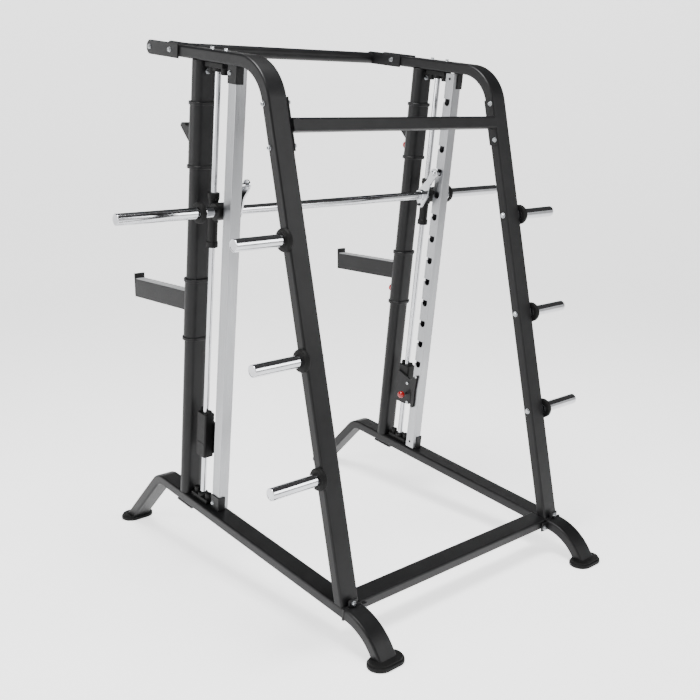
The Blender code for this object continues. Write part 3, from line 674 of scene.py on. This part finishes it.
for label, side in SIDES.items():
    for end in ("bottom", "top"):
        node = f"rack_bracket_{end}_{label}"
        low, high = extent(node, machine)
        outer_x, reach = (high.x, low.x) if side > 0 else (low.x, high.x)
        rear = high.y
        front_edge = Vector((outer_x, low.y))
        inner_edge = Vector((reach, rear))
        fold = bend(front_edge, Vector((outer_x, rear)), inner_edge, 0.004, 6)
        inside = Vector((outer_x - side * bracket_wall, rear - bracket_wall))
        outline = [front_edge, *fold, inner_edge, Vector((reach, inside.y)), inside,
                   Vector((inside.x, low.y))]
        fit(f"folded_bracket_{end}_{label}", plate([outline], "Z", low.z, high.z), "frame", coated, node)

# --------------------------------------------------
# Weight pegs
# Chromed tube pegs bolted through the legs, with a moulded rubber buffer ring at the root
# that keeps the plates off the paint.
# --------------------------------------------------
chrome_cross = hard_chrome("hard chrome, level bar", "X")
peg_radius = 0.0243
buffer_profile = ((0.0, 0.0246), (0.0, 0.0400), (0.0015, 0.0430), (0.0040, 0.0447), (0.0080, 0.0450),
                  (0.0150, 0.0447), (0.0185, 0.0430), (0.0205, 0.0400), (0.0215, 0.0350), (0.0222, 0.0290),
                  (0.0247, 0.0272), (0.0247, 0.0246))


def open_tube_end(length, radius):
    """Profile of a peg: a tube with a pressed cap set into its outer end."""
    return [(0, 0), (0, radius), (length - 0.0025, radius), (length - 0.0008, radius - 0.0006),
            (length, radius - 0.0022), (length, radius - 0.0040), (length - 0.0012, radius - 0.0052),
            (length - 0.0016, 0.004), (length - 0.0016, 0)]


for label, side in SIDES.items():
    for position in ("lower", "middle", "upper"):
        node = f"weight_peg_{position}_{label}"
        low, high = extent(node, machine)
        middle = (low + high) / 2
        root = (side * plate_back, middle.y, middle.z)
        peg = turned(open_tube_end(high.x - low.x, peg_radius), "X", root, side, 64)
        fit(f"peg_{position}_{label}", peg, "frame", chrome_cross, node)
        fit(f"peg_buffer_{position}_{label}", turned(buffer_profile, "X", root, side, 64), "frame", rubber)

# --------------------------------------------------
# Carriages
# Moulded nylon bearing housings that run on the guide rods, with a clamp ring behind for
# the bar and a retaining cap at each end.
# --------------------------------------------------
bar_y = 0.045
bar_z = 1.328
bar_radius = 0.01925
bar_bore = bar_radius + 0.0004
bearing_ring = ((0, bar_bore), (0, 0.0330), (0.003, 0.0360), (0.051, 0.0360), (0.054, 0.0330),
                (0.054, bar_bore))
ring_start = 0.598

for label, side in SIDES.items():
    x = side * side_x
    low, high = extent(f"carriage_{label}", machine)
    tall = high.z - low.z
    cap = [(0, 0.0129), (0, 0.0225), (0.002, 0.0245), (0.0225, 0.0245), (0.0245, 0.0230), (0.026, 0.0210)]
    housing = cap + [(tall - along, radius) for along, radius in reversed(cap)]
    parts = [turned(housing, "Z", (x, 0, low.z), sides=56)]
    parts.append(turned(bearing_ring, "X", (side * ring_start, bar_y, bar_z), side, 56))
    for z in (bar_z - 0.050, bar_z + 0.040):
        parts.append(block((x - 0.008, 0.012, z), (x + 0.008, 0.030, z + 0.010), 0.002))
    fit(f"bearing_housing_{label}", parts, "bar_carriage", nylon, f"carriage_{label}")

# --------------------------------------------------
# Barbell
# Hard-chromed solid shaft that turns in the carriages, with a thicker sleeve outside each
# collar for the plates. The collar is rubber faced, with a bright flared ring inboard.
# --------------------------------------------------
collar_face = 0.732
shaft_low, shaft_high = extent("bar_shaft", machine)
shaft_profile = bar_profile(shaft_high.x - shaft_low.x, bar_radius)
shaft = turned(shaft_profile, "X", (shaft_low.x, bar_y, bar_z), sides=64)
fit("barbell_shaft", shaft, "barbell", chrome_cross, "bar_shaft")

collar_start = 0.710
collar_disc = ((0, 0.0245), (0, 0.0380), (0.002, 0.0415), (0.005, 0.0430), (0.017, 0.0430), (0.020, 0.0415),
               (0.0217, 0.0380), (0.0217, 0.0245))
flare_start = 0.658
clamp_bore = bar_radius + gap
flare = ((0, clamp_bore), (0, 0.0215), (0.030, 0.0230), (0.042, 0.0245), (0.047, 0.0300), (0.0495, 0.0365),
         (0.0515, 0.0365), (0.0515, clamp_bore))

for label, side in SIDES.items():
    low, high = extent(f"bar_sleeve_{label}", machine)
    length = high.x - low.x
    radius = (high.z - low.z) / 2
    root = (side * (collar_face + gap), bar_y, bar_z)
    sleeve = turned(bar_profile(length, radius, 0.003), "X", root, side, 64)
    fit(f"barbell_sleeve_{label}", sleeve, "barbell", chrome_cross, f"bar_sleeve_{label}")
    collar = turned(collar_disc, "X", (side * collar_start, bar_y, bar_z), side, 64)
    fit(f"barbell_collar_{label}", collar, "barbell", rubber, f"bar_collar_{label}")
    ring = turned(flare, "X", (side * flare_start, bar_y, bar_z), side, 64)
    fit(f"barbell_flared_ring_{label}", ring, "barbell", chrome_cross)

# --------------------------------------------------
# Hooks
# Laser-cut steel levers, chromed, clamped on the bar by a split boss and screw. The pin at
# the tip drops into a rack notch when the user turns the bar back.
# --------------------------------------------------
chrome_cut = hard_chrome("hard chrome, cut plate", "Y")
hook_x = 0.546
hook_tip = Vector((0.116, 1.445))
hook_tail = Vector((0.051, 1.284))
hook_half = 0.004
tail_front = Vector((0.017, 1.312))
shoulder = Vector((0.037, 1.363))
tail_rear = Vector((0.0885, 1.318))
hook_line = [*bend(tail_front, Vector((0.010, 1.332)), shoulder, 0.006, 6), shoulder, Vector((0.079, 1.411)),
             *arc(hook_tip, 0.022, 148, -32, 24),
             *bend(Vector((0.116, 1.42)), Vector((0.100, 1.385)), tail_rear, 0.03, 8), tail_rear,
             *arc(hook_tail, 0.014, -15, -165, 16), tail_front]
hook_boss = ((0, clamp_bore), (0, 0.0255), (0.002, 0.0275), (0.025, 0.0275), (0.027, 0.0255),
             (0.027, clamp_bore))
pin_head = ((0, 0), (0, 0.0125), (0.003, 0.0125), (0.0055, 0.0110), (0.0070, 0.0080), (0.0075, 0))
pin_profile = bar_profile(0.0375, 0.008, 0.0015)

for label, side in SIDES.items():
    parts = [plate([hook_line], "X", side * (hook_x - hook_half), side * (hook_x + hook_half), 0.0010)]
    parts.append(turned(hook_boss, "X", (side * (hook_x - 0.014), bar_y, bar_z), side, 56))
    parts.append(turned(pin_profile, "X", (side * hook_x, *hook_tip), side, 40))
    parts.append(turned(pin_head, "X", (side * (hook_x - 0.0035), *hook_tip), -side, 40))
    fit(f"bar_hook_{label}", parts, "barbell", chrome_cut, f"hook_{label}")

# --------------------------------------------------
# Lower stops
# A moulded block round each guide rod with rubber bumpers on top and a cheek plate inboard.
# A steel latch on its pivot reaches for the rack, and a sprung red knob lets it go.
# --------------------------------------------------


def zinc_plated_steel():
    """Bright zinc plate: silver with a faint cool cast and soft, slightly uneven highlights."""
    return surface("zinc-plated steel", "hard_chrome", 1.0, ("#9b9ea1", "#b8babc"), (0.006,),
                   (0.22, 0.36), (0.006,), 0.00005)


def black_oxide_steel():
    """Black oxide: a thin dark conversion coat that still shines like oiled steel on its edges."""
    return surface("black-oxide steel", "frame_paint", 0.6, ("#151516", "#242426"), (0.005,),
                   (0.28, 0.40), (0.005,), 0.00004)


def screw(centre, axis, direction, size, sides=6, height=0.7, socket=True, washer=True):
    """Screw head, and its washer, on a face; size is the thread's diameter in metres."""
    meshes = []
    lift = 0.0
    if washer:
        lift = 0.16 * size
        rim = ((0, 0), (0, size * 1.05), (lift * 0.7, size * 1.05), (lift, size * 1.0), (lift, 0))
        meshes.append(turned(rim, axis, centre, direction, 32))
    tall = height * size
    across = size * 0.86
    profile = [(lift, 0), (lift, across), (lift + tall * 0.75, across), (lift + tall, across * 0.86)]
    if socket:
        floor = lift + tall * 0.5
        profile += [(lift + tall, across * 0.45), (floor, across * 0.42), (floor, 0)]
    else:
        profile += [(lift + tall, 0)]
    meshes.append(turned(profile, axis, centre, direction, sides))
    return meshes


zinc = zinc_plated_steel()
black_oxide = black_oxide_steel()
stop_low = 0.219
stop_high = 0.425
latch_pivot = Vector((0.063, 0.350))
latch_x = 0.578
knob_axis = (0.045, 0.284)
stop_skin = 0.5905                # inner face of the cheek plate
rod_bore = 0.0256
bumper = ((0, 0), (0, 0.0110), (0.004, 0.0125), (0.013, 0.0125), (0.0165, 0.0110), (0.0185, 0.0075),
          (0.0190, 0))
cheek_line = [Vector((-0.026, 0.232)), *arc((0.068, 0.242), 0.010, -90, 0, 8),
              *arc((0.054, 0.346), 0.024, 0, 90, 12), Vector((-0.026, 0.392))]
cheek_hole = arc(knob_axis, 0.0060, 0, -345, 23)
latch_line = [*arc(latch_pivot, 0.014, 215, 100, 12), Vector((0.100, 0.396)),
              *arc((0.118, 0.402), 0.007, 130, -20, 8), Vector((0.122, 0.380)), Vector((0.118, 0.330)),
              *arc((0.107, 0.240), 0.011, 0, -180, 14), Vector((0.098, 0.290)), Vector((0.088, 0.330))]
latch_bore = arc(latch_pivot, 0.0075, 0, -345, 23)
latch_nose = arc((0.117, 0.401), 0.0062, 0, 345, 23)

for label, side in SIDES.items():
    x = side * side_x
    body = f"stop_{label}"
    bore = oval(rod_bore, rod_bore, (x, 0), 12)
    section = [(x + u, v) for u, v in rolled_section(0.050, 0.068, 0.008)]
    band = [(x + u, v) for u, v in rolled_section(0.053, 0.060, 0.008)]
    parts = [plate([section, bore], "Z", stop_low, stop_high, 0.003),
             plate([band, bore], "Z", stop_low + 0.06, stop_low + 0.068, 0.001)]
    fit(f"stop_block_{label}", parts, body, nylon, f"stop_body_{label}")
    bumpers = [turned(bumper, "Z", (x, y, stop_high - 0.002), 1, 40) for y in (-0.024, 0.024)]
    fit(f"stop_bumpers_{label}", bumpers, body, rubber)
    stop_cheek = plate([cheek_line, cheek_hole], "X", side * 0.6000, side * stop_skin, 0.0012)
    fit(f"stop_cheek_{label}", stop_cheek, body, coated)
    heads = screw((side * 0.5745, *latch_pivot), "X", -side, 0.009, 32, 0.45, True, False)
    heads += screw((side * stop_skin, 0.060, 0.239), "X", -side, 0.009, 32, 0.45, True, False)
    shank = turned(bar_profile(0.018, 0.0068, 0.0005), "X", (side * 0.592, *latch_pivot), -side, 32)
    fit(f"stop_screws_{label}", [*heads, shank], body, zinc)

    body = f"latch_{label}"
    latch = plate([latch_line, latch_bore], "X", side * (latch_x - 0.003), side * (latch_x + 0.003), 0.0006)
    fit(f"latch_plate_{label}", latch, body, coated, f"stop_latch_{label}")
    nose = plate([latch_nose], "X", side * (latch_x - 0.0045), side * (latch_x + 0.0045), 0.0008)
    fit(f"latch_nose_{label}", nose, body, zinc)

# --------------------------------------------------
# Red knobs
# Ball knobs moulded in red phenolic on sprung steel plungers: one on each lower stop, one
# on each spotter arm and one on each bar rest.
# --------------------------------------------------


def red_phenolic():
    """Moulded phenolic: deep red, glossy from the polished mould, slightly cloudy inside."""
    return surface("red phenolic", "red_knob", 0.0, ("#7c080c", "#960d10"), (0.012,),
                   (0.18, 0.30), (0.012,), 0.00008, Coat_Weight=0.2, Coat_Roughness=0.08)


def ball_knob(name, centre, axis, direction, body, node, shank_radius, shank_end):
    """Ball knob, with its steel plunger behind it."""
    ball = 0.0183
    top = 2 * ball * 0.94
    angles = [math.radians(degrees) for degrees in range(130, -1, -10)]
    crown = [(top - ball * (1 - math.cos(a)), ball * math.sin(a)) for a in angles]
    profile = [(0, 0), (0, 0.0085), (0.0015, 0.0098), (0.0035, 0.0100), *crown]
    fit(f"{name}_ball", turned(profile, axis, centre, direction), body, red, node)
    shank = ((-shank_end, 0), (-shank_end, shank_radius * 0.8), (-shank_end + 0.001, shank_radius),
             (0.0005, shank_radius), (0.0005, 0))
    fit(f"{name}_plunger", turned(shank, axis, centre, direction, 32), body, zinc)


red = red_phenolic()
stop_knob_x = 0.5715
for label, side in SIDES.items():
    ball_knob(f"stop_knob_{label}", (side * stop_knob_x, *knob_axis), "X", -side, f"stop_plunger_{label}",
              f"stop_knob_{label}", 0.005, 0.029)

# --------------------------------------------------
# Sleeves of the spotter arms and bar rests
# Flat-oval steel sleeves that slide on the posts, with a rolled rim at each end and a bored
# boss in front for the pull pin. The arm or cradle is welded to the sleeve's front.
# --------------------------------------------------
sleeve_front = post_y - post_depth / 2 - 0.005
pin_boss = ((-0.002, 0.0066), (-0.002, 0.0130), (0.0065, 0.0130), (0.0080, 0.0118), (0.0080, 0.0066))
pin_face = sleeve_front - 0.0090


def sliding_sleeve(side, low, high, pin_z):
    """Sleeve, rims and pin boss; the rims stand 5 mm proud of the sleeve."""
    centre = (side * post_x, post_y)
    half_clearance = 0.001
    wall = 0.004
    bore = post_width + 2 * half_clearance
    deep = post_depth + 2 * half_clearance
    eased = 0.0008
    skin = ((0, low), (0, high), (-wall + eased, high), (-wall, high - eased), (-wall, low + eased),
            (-wall + eased, low))
    parts = [oval_stack("sleeve", bore, deep, centre, skin, True)]
    for z in (low - 0.001, high - 0.013):
        rim = ((-wall + 0.001, z), (-wall - 0.0035, z), (-wall - 0.0050, z + 0.0015),
               (-wall - 0.0050, z + 0.0125), (-wall - 0.0035, z + 0.014), (-wall + 0.001, z + 0.014))
        parts.append(oval_stack("rim", bore, deep, centre, rim, True))
    parts.append(turned(pin_boss, "Y", (side * side_x, sleeve_front, pin_z), -1, 40))
    return parts


# --------------------------------------------------
# Spotter arms
# A level box of folded sheet with an upturned lip, welded to its sleeve; a grey nylon strip
# on top saves the bar's chrome.
# --------------------------------------------------


def grey_nylon():
    """Cast nylon strip: mid grey, satin, with saw marks across it."""
    marks = (0.0020, 2.0, (6, 1, 6))
    return surface("grey cast nylon", "grey_nylon", 0.0, ("#7c7d7e", "#949596"), marks,
                   (0.42, 0.58), marks, 0.0001)


liner_grey = grey_nylon()
arm_tip = Vector((-0.577, 0.805))
arm_depth = 0.082
lip_height = 0.026
lip_thickness = 0.010
arm_root = sleeve_front + 0.002
arm_low = 0.738
arm_high = 1.011
arm_pin_z = 0.799


def level_to(point, y):
    """Where a level line through a point reaches a depth in the side plane."""
    return point + level * ((y - point.x) / level.x)


arm_top = arm_tip + plumb * arm_depth
behind_lip = arm_top + level * lip_thickness
arm_line = [arm_tip, level_to(arm_tip, arm_root), level_to(arm_top, arm_root), behind_lip,
            behind_lip + plumb * lip_height, arm_top + plumb * lip_height]
strip_start = arm_top + plumb * gap + level * 0.0125
strip_end = level_to(strip_start, sleeve_front - 0.006)
strip_depth = plumb * 0.004
strip_line = [strip_start, strip_end, strip_end + strip_depth, strip_start + strip_depth]

for label, side in SIDES.items():
    body = f"spotter_{label}"
    parts = sliding_sleeve(side, arm_low, arm_high, arm_pin_z)
    parts.append(plate([arm_line], "X", side * 0.600, side * 0.650, 0.0015))
    fit(f"spotter_weldment_{label}", parts, body, coated, f"spotter_arm_{label}")
    strip = plate([strip_line], "X", side * 0.604, side * 0.646, 0.0006)
    fit(f"spotter_strip_{label}", strip, body, liner_grey, f"arm_liner_{label}")
    ball_knob(f"spotter_pin_{label}", (side * side_x, pin_face, arm_pin_z), "Y", -1,
              f"spotter_plunger_{label}", f"spotter_pin_{label}", 0.006, 0.0125)

# --------------------------------------------------
# Bar rests
# A gusseted steel cradle welded high on its own sleeve, to park a free barbell. Made and
# coated like the spotter arms, with its own sprung pull pin below the cradle.
# --------------------------------------------------
rest_low = 1.480
rest_high = 1.747
rest_pin_z = 1.536
lip_tip = Vector((-0.233, 1.636))
gusset_foot = Vector((-0.189, 1.598))
rest_line = [Vector((arm_root, 1.652)), *arc((-0.182, 1.672), 0.030, -48, -132, 16),
             *bend(Vector((-0.2021, 1.6497)), Vector((-0.224, 1.650)), lip_tip, 0.003, 4),
             *bend(Vector((-0.224, 1.650)), lip_tip, gusset_foot, 0.003, 4), gusset_foot,
             Vector((arm_root, 1.556))]

for label, side in SIDES.items():
    parts = sliding_sleeve(side, rest_low, rest_high, rest_pin_z)
    parts.append(plate([rest_line], "X", side * 0.604, side * 0.646, 0.0015))
    fit(f"rest_weldment_{label}", parts, f"bar_rest_{label}", coated, f"jhook_{label}")
    ball_knob(f"rest_pin_{label}", (side * side_x, pin_face, rest_pin_z), "Y", -1,
              f"bar_rest_plunger_{label}", f"jhook_pin_{label}", 0.006, 0.0125)

# --------------------------------------------------
# Fasteners
# Zinc-plated screws with washers hold the cheek plates, brace, pegs, racks, posts and rear
# feet. Black-oxide socket screws hold the rod clamps and pinch the hooks on the bar.
# --------------------------------------------------
M8, M9, M10, M12 = 0.008, 0.009, 0.010, 0.012
cheek_screw_z = top_z + 0.001
inner_skin = half_span - cheek_thickness
brace_skin = half_span - brace_plate_thickness
nut_y = clamp_screw_y + 0.004
post_screw_z = 1.868

for label, side in SIDES.items():
    x = side * side_x
    cheek_screws = []
    for y in (-0.430, -0.274):
        cheek_screws += screw((side * plate_skin, y, cheek_screw_z), "X", side, M10, 32, 0.50)
        cheek_screws += screw((side * inner_skin, y, cheek_screw_z), "X", -side, M10, 6, 0.8)
    fit(f"cheek_screws_{label}", cheek_screws, "frame", zinc)

    peg_screws = []
    for position in ("lower", "middle", "upper"):
        low, high = extent(f"weight_peg_{position}_{label}", machine)
        middle = (low + high) / 2
        head = (side * inner_face, middle.y - 0.010, middle.z)
        peg_screws += screw(head, "X", -side, M12, 6, 0.6, False)
    fit(f"peg_screws_{label}", peg_screws, "frame", zinc)

    brace_screws = []
    for u in (-0.080, 0.080):
        front = brace_middle + drop * u - out * 0.012
        rear = brace_middle + drop * u + out * 0.012
        brace_screws += screw((side * outer_face, *front), "X", side, M10, 6, 0.7)
        brace_screws += screw((side * brace_skin, *rear), "X", -side, M10, 6, 0.7)
    fit(f"brace_screws_{label}", brace_screws, "frame", zinc)

    nuts = []
    for y in (-nut_y, nut_y):
        nuts += screw((x, y, top_z + tube_depth / 2), "Z", 1, M9, 6, 0.9)
    nuts += screw((side * post_x, post_low.y, post_screw_z), "Y", -1, M10, 6, 0.8)
    nuts += screw((side * post_x, post_high.y, post_screw_z), "Y", 1, M10, 6, 0.8)
    fit(f"top_rail_nuts_{label}", nuts, "frame", zinc)

    rack_screws = []
    for end, z in (("bottom", 0.027), ("top", 1.878)):
        low, high = extent(f"rack_bracket_{end}_{label}", machine)
        face = high.x if side > 0 else low.x
        rack_screws += screw((face, 0.102, z), "X", side, M9, 32, 0.5)
    fit(f"rack_screws_{label}", rack_screws, "frame", zinc)

    foot_screws = screw((x, flange_back, 0.015), "Y", 1, M10, 6, 0.7)
    foot_screws += screw((x - side * 0.063, flange_back, -0.033), "Y", 1, M10, 6, 0.7)
    fit(f"foot_screws_{label}", foot_screws, "frame", zinc)

    clamp_screws = []
    for y in (-clamp_screw_y, clamp_screw_y):
        clamp_screws += screw((x, y, 0.0383), "Z", 1, M8, 32, 0.9, True, False)
        clamp_screws += screw((x, y, top_face - 0.0380), "Z", -1, M8, 32, 0.9, True, False)
    fit(f"clamp_screws_{label}", clamp_screws, "frame", black_oxide)
    hook_screw = screw((side * (hook_x - hook_half), 0.044, 1.283), "X", -side, M8, 32, 0.8, True, False)
    fit(f"hook_screw_{label}", hook_screw, "barbell", black_oxide)

# --------------------------------------------------
# Studio
# A white floor that curves up into a round backdrop, broad soft lights, and a camera above
# head height behind the machine's right rear corner.
# --------------------------------------------------


def white_sweep():
    """Matt white paint with a faint roller stipple; it glows softly, less towards the rear left,
    so that polished steel has a light and a dark side to mirror."""
    material = surface("matt white paint", None, 0.0, ("#f3f3f3", "#f5f5f5"), (0.010,),
                       (0.85, 0.95), (0.010,), 0.00005)
    tree = material.node_tree
    shader = tree.nodes["Principled BSDF"]
    shader.inputs["Emission Color"].default_value = (1.0, 1.0, 1.0, 1.0)
    towards_shade = add_node(tree, "VectorMath", {0: add_node(tree, "TexCoord").outputs["Object"],
                                                  1: (-0.6, 0.8, 0.0)}, operation="DOT_PRODUCT")
    glow = add_node(tree, "MapRange", {"Value": towards_shade.outputs["Value"], "From Min": 3.0,
                                       "From Max": 7.0, "To Min": 1.6, "To Max": 0.3})
    tree.links.new(glow.outputs["Result"], shader.inputs["Emission Strength"])
    return material


def area_light(name, place, aim, width, height, power):
    """Softbox at a place, turned to face a point."""
    light = bpy.data.lights.new(name, "AREA")
    light.shape = "RECTANGLE"
    light.size = width
    light.size_y = height
    light.energy = power
    lamp = bpy.data.objects.new(name, light)
    bpy.context.scene.collection.objects.link(lamp)
    lamp.location = place
    lamp.rotation_euler = (Vector(aim) - Vector(place)).to_track_quat("-Z", "Y").to_euler()


floor_radius = 9.0
floor_z = -0.0005
cove_radius = 5.0
cove_steps = 20
sides = 96
sweep_profile = [(0.0, radius) for radius in (1.0, 5.0, 8.9, floor_radius)]
for i in range(1, cove_steps + 1):
    rise = math.radians(90 * i / cove_steps)
    sweep_profile.append((cove_radius * (1 - math.cos(rise)), floor_radius + cove_radius * math.sin(rise)))
turns = [2 * math.pi * i / sides for i in range(sides)]
bm = bmesh.new()
rings = []
for z, radius in sweep_profile:
    rings.append([bm.verts.new((radius * math.cos(a), radius * math.sin(a), z + floor_z)) for a in turns])
bm.faces.new(rings[0])
for one, two in zip(rings, rings[1:]):
    for i in range(sides):
        j = (i + 1) % sides
        bm.faces.new((one[i], two[i], two[j], one[j]))
sweep_mesh = bpy.data.meshes.new("studio sweep")
bm.to_mesh(sweep_mesh)
bm.free()
sweep_mesh.shade_smooth()
sweep_mesh.materials.append(white_sweep())
sweep = bpy.data.objects.new("studio_sweep", sweep_mesh)
bpy.context.scene.collection.objects.link(sweep)

world = bpy.data.worlds.new("studio")
world.use_nodes = True
world.node_tree.nodes["Background"].inputs["Color"].default_value = (1.0, 1.0, 1.0, 1.0)
world.node_tree.nodes["Background"].inputs["Strength"].default_value = 0.08
bpy.context.scene.world = world

area_light("overhead softbox", (0.5, 0.5, 5.5), (0, 0, 0.5), 2.0, 2.0, 420)
area_light("right softbox", (5.0, -1.5, 3.0), (0, 0, 1.1), 1.6, 3.5, 160)
area_light("rear softbox", (-3.0, 5.0, 3.2), (0, 0, 1.0), 1.6, 3.0, 120)

camera_data = bpy.data.cameras.new("camera")
camera_data.lens = 50.0
camera_data.sensor_width = 36.0
camera = bpy.data.objects.new("camera", camera_data)
bpy.context.scene.collection.objects.link(camera)
camera.location = (2.8736, 3.2335, 1.9978)
camera_tilt = 13.86               # degrees below level
camera_heading = 138.28
camera.rotation_euler = (math.radians(90 - camera_tilt), 0, math.radians(camera_heading))
bpy.context.scene.camera = camera

bpy.context.view_layer.update()
